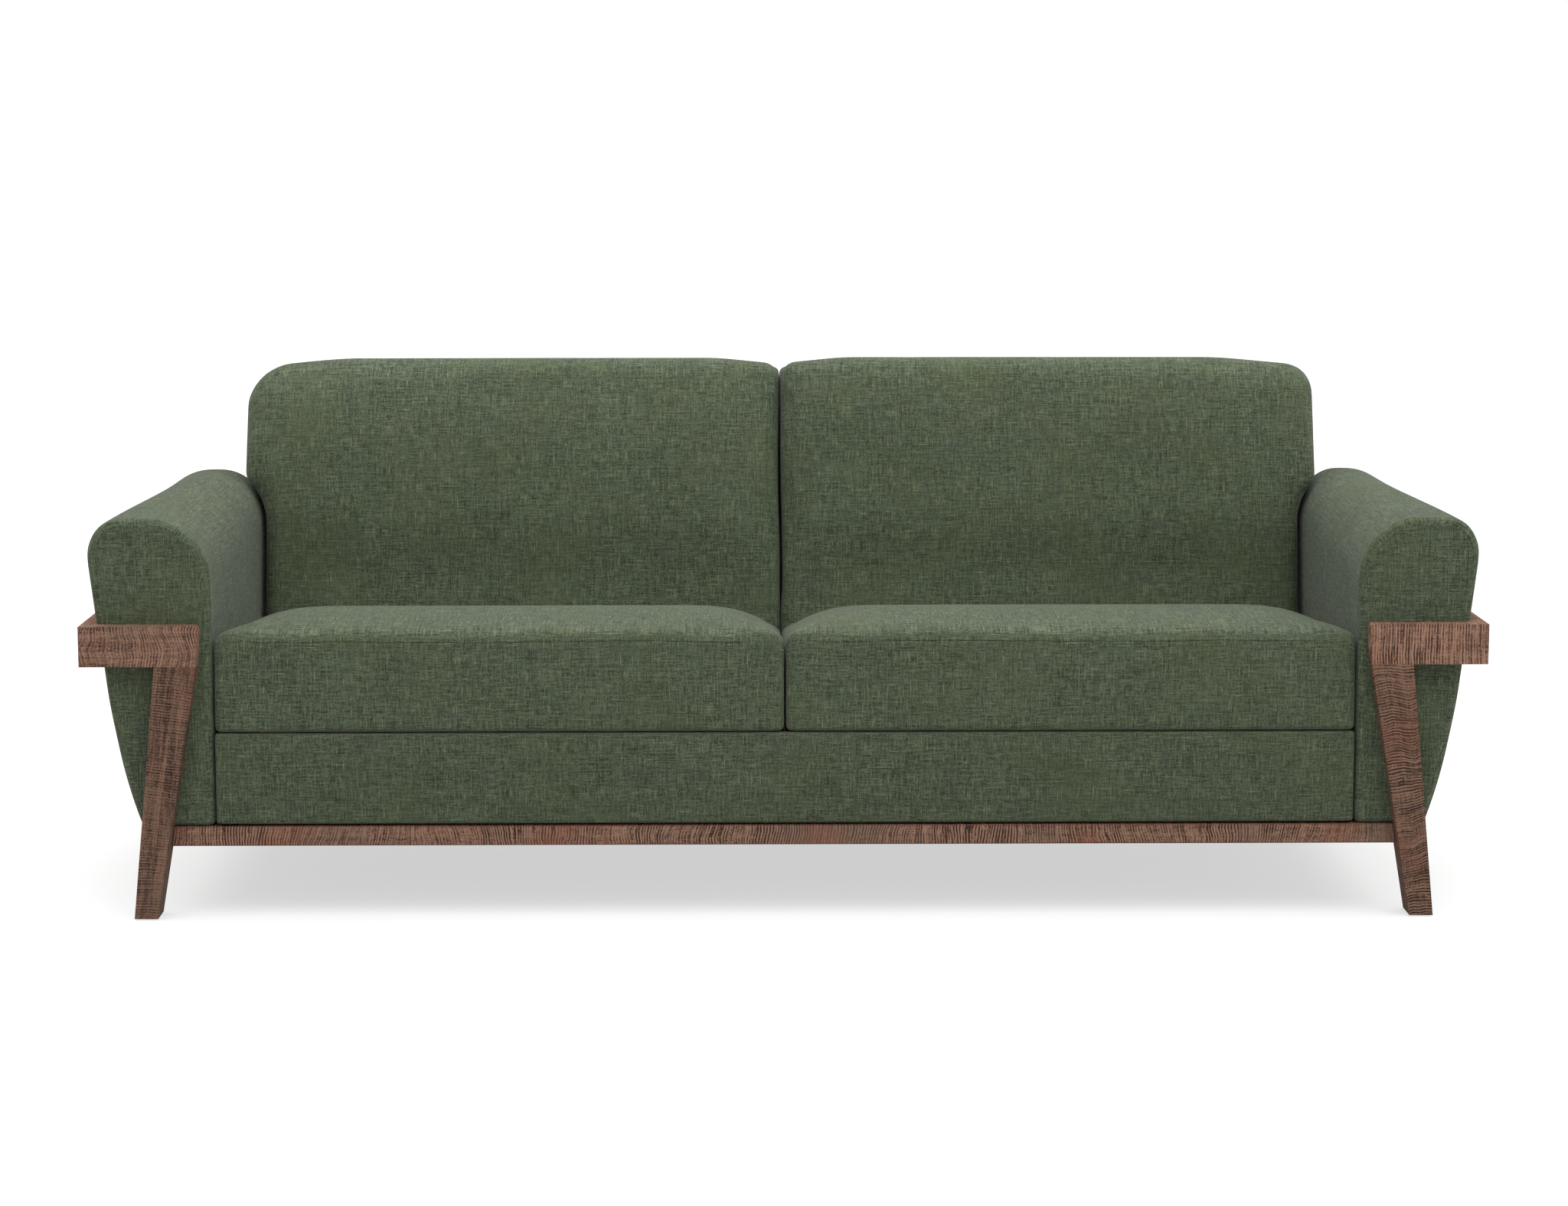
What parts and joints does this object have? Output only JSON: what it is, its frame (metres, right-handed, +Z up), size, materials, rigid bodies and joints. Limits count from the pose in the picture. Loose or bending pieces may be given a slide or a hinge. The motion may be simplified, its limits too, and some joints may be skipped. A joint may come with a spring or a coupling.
{
  "type": "sofa bed",
  "caption": "Upholstered sofa bed whose split back folds down flat, with padded rolled arms, outer wooden arm beams and slanted wooden legs on a low wooden rail.",
  "frame": {"origin": "on the floor, midway across the width and the depth", "axes": "+X to the right as seen from the front, -Y towards the front, +Z up"},
  "size_m": [2.26, 0.8668, 0.8528],
  "materials": {
    "stained_oak": "greyish brown stain on rough-sawn oak, eased edges",
    "upholstery": "dark green linen-look weave with lighter slubs",
    "plywood": "bare plywood",
    "pine": "bare planed softwood",
    "lining": "black non-woven lining and webbing",
    "hinge_steel": "black painted steel plate",
    "fastener": "zinc plated steel",
    "glide": "dark plastic"
  },
  "bodies": {
    "base": {"front_rail": "stained_oak", "rear_rail": "stained_oak", "left_base_rail": "stained_oak", "right_base_rail": "stained_oak", "front_left_leg": "stained_oak", "front_right_leg": "stained_oak", "rear_left_leg": "stained_oak", "rear_right_leg": "stained_oak", "front_left_beam": "stained_oak", "front_right_beam": "stained_oak", "rear_left_beam": "stained_oak", "rear_right_beam": "stained_oak", "left_side_beam": "stained_oak", "right_side_beam": "stained_oak", "centre_leg": "stained_oak", "leg_glides": "glide", "leg_bolts": "fastener", "beam_dowels": "pine", "apron_board": "plywood", "apron_pad": "upholstery", "left_seat_board": "plywood", "right_seat_board": "plywood", "centre_divider": "plywood", "rear_seat_boards": "plywood", "seat_slats": "pine", "rear_apron": "upholstery", "dust_cover": "lining", "left_seat_cushion": "upholstery", "right_seat_cushion": "upholstery", "left_arm_frame": "plywood", "right_arm_frame": "plywood", "left_arm_pad": "upholstery", "right_arm_pad": "upholstery", "left_outer_base_plate": "hinge_steel", "left_inner_base_plate": "hinge_steel", "right_inner_base_plate": "hinge_steel", "right_outer_base_plate": "hinge_steel", "hinge_pins": "fastener", "hinge_base_bolts": "fastener"},
    "left_back": {"left_back_top_rail": "pine", "left_back_bottom_rail": "pine", "left_back_uprights": "pine", "left_back_webbing": "lining", "left_back_cushion": "upholstery", "left_back_panel": "upholstery", "left_outer_back_plate": "hinge_steel", "left_inner_back_plate": "hinge_steel", "left_back_bolts": "fastener"},
    "right_back": {"right_back_top_rail": "pine", "right_back_bottom_rail": "pine", "right_back_uprights": "pine", "right_back_webbing": "lining", "right_back_cushion": "upholstery", "right_back_panel": "upholstery", "right_outer_back_plate": "hinge_steel", "right_inner_back_plate": "hinge_steel", "right_back_bolts": "fastener"}
  },
  "joints": [
    {"name": "left_back_recline", "type": "hinge", "parent": "base", "child": "left_back", "pos_m": [-0.451, 0.29094, 0.326], "axis": [-1, 0, 0], "range_deg": [0, 78]},
    {"name": "right_back_recline", "type": "hinge", "parent": "base", "child": "right_back", "pos_m": [0.451, 0.29094, 0.326], "axis": [-1, 0, 0], "range_deg": [0, 78]}
  ]
}
